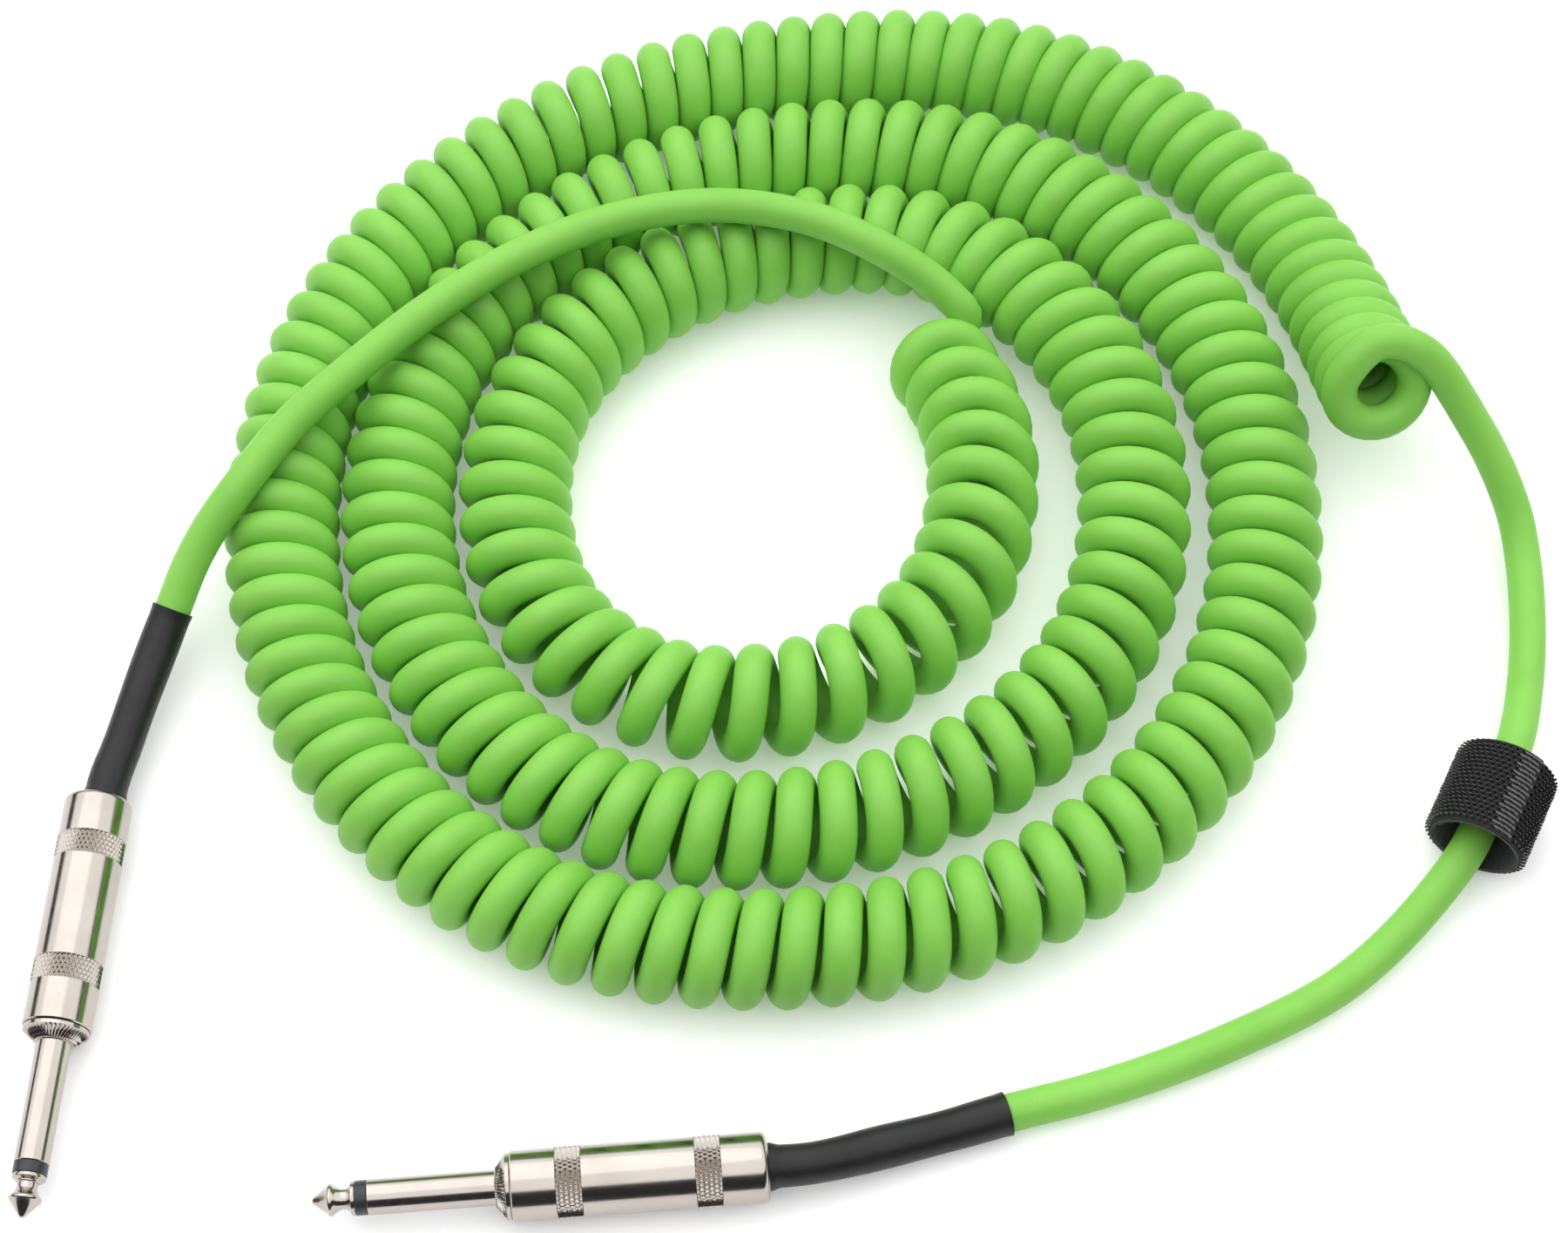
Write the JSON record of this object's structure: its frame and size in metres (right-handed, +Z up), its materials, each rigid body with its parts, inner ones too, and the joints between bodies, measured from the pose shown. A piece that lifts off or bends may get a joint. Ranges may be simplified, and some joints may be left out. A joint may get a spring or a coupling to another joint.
{
  "type": "instrument cable",
  "caption": "Curly instrument cable laid in a flat spiral, with straight mono phone plugs, boots over the cable and a hook-and-loop cable tie.",
  "frame": {"origin": "centre of the whole cable's box at the surface that it lies on", "axes": "+Z up from the surface, +X to the right and +Y to the back, with plug A's tip to the front at the left and plug B's tip to the left along the front"},
  "size_m": [0.2866, 0.261, 0.0373],
  "materials": {
    "nickel": "bright nickel plating",
    "ring_plastic": "satin black",
    "rod_plastic": "satin",
    "fibre": "matt",
    "tinned": "tinned",
    "liner_plastic": "satin",
    "copper": "bare strands",
    "core_plastic": "satin",
    "boot": "satin",
    "jacket": "matt",
    "hook_tape": "hooks",
    "loop_tape": "napped"
  },
  "bodies": {
    "cable": {"tip_a": "nickel", "tip_ring_a": "ring_plastic", "sleeve_a": "nickel", "bushing_a": "nickel", "rod_insulator_a": "rod_plastic", "lug_washer_a": "fibre", "tip_lug_a": "tinned", "ground_clamp_a": "tinned", "core_wire_a": "copper", "core_insulation_a": "core_plastic", "shield_a": "copper", "boot_a": "boot", "tip_b": "nickel", "tip_ring_b": "ring_plastic", "sleeve_b": "nickel", "bushing_b": "nickel", "rod_insulator_b": "rod_plastic", "lug_washer_b": "fibre", "tip_lug_b": "tinned", "ground_clamp_b": "tinned", "core_wire_b": "copper", "core_insulation_b": "core_plastic", "shield_b": "copper", "boot_b": "boot", "coil": "jacket", "tail_a": "jacket", "tail_b": "jacket"},
    "liner_a": {"liner_a": "liner_plastic"},
    "barrel_a": {"barrel_a": "nickel"},
    "liner_b": {"liner_b": "liner_plastic"},
    "barrel_b": {"barrel_b": "nickel"},
    "tie": {"tie_hook_tape": "hook_tape", "tie_loop_tape": "loop_tape"}
  },
  "joints": [
    {"name": "barrel_a_travel", "type": "slide", "parent": "cable", "child": "liner_a", "axis": [0.0698, 0.9976, 0], "range_m": [0, 0.005]},
    {"name": "barrel_a_turn", "type": "hinge", "parent": "liner_a", "child": "barrel_a", "pos_m": [-0.13572, -0.06955, 0.00635], "axis": [0.0698, 0.9976, 0], "range_deg": [0, 1800]},
    {"name": "barrel_b_travel", "type": "slide", "parent": "cable", "child": "liner_b", "axis": [0.9969, 0.0785, 0], "range_m": [0, 0.005]},
    {"name": "barrel_b_turn", "type": "hinge", "parent": "liner_b", "child": "barrel_b", "pos_m": [-0.02908, -0.12169, 0.00635], "axis": [0.9969, 0.0785, 0], "range_deg": [0, 1800]},
    {"name": "tie_slide", "type": "slide", "parent": "cable", "child": "tie", "axis": [0.4462, 0.8949, 0], "range_m": [-0.002, 0.005]}
  ],
  "couplings": [
    {"joint": "barrel_a_travel", "follows": "barrel_a_turn", "m_per_rad": 0.00015915},
    {"joint": "barrel_b_travel", "follows": "barrel_b_turn", "m_per_rad": 0.00015915}
  ]
}
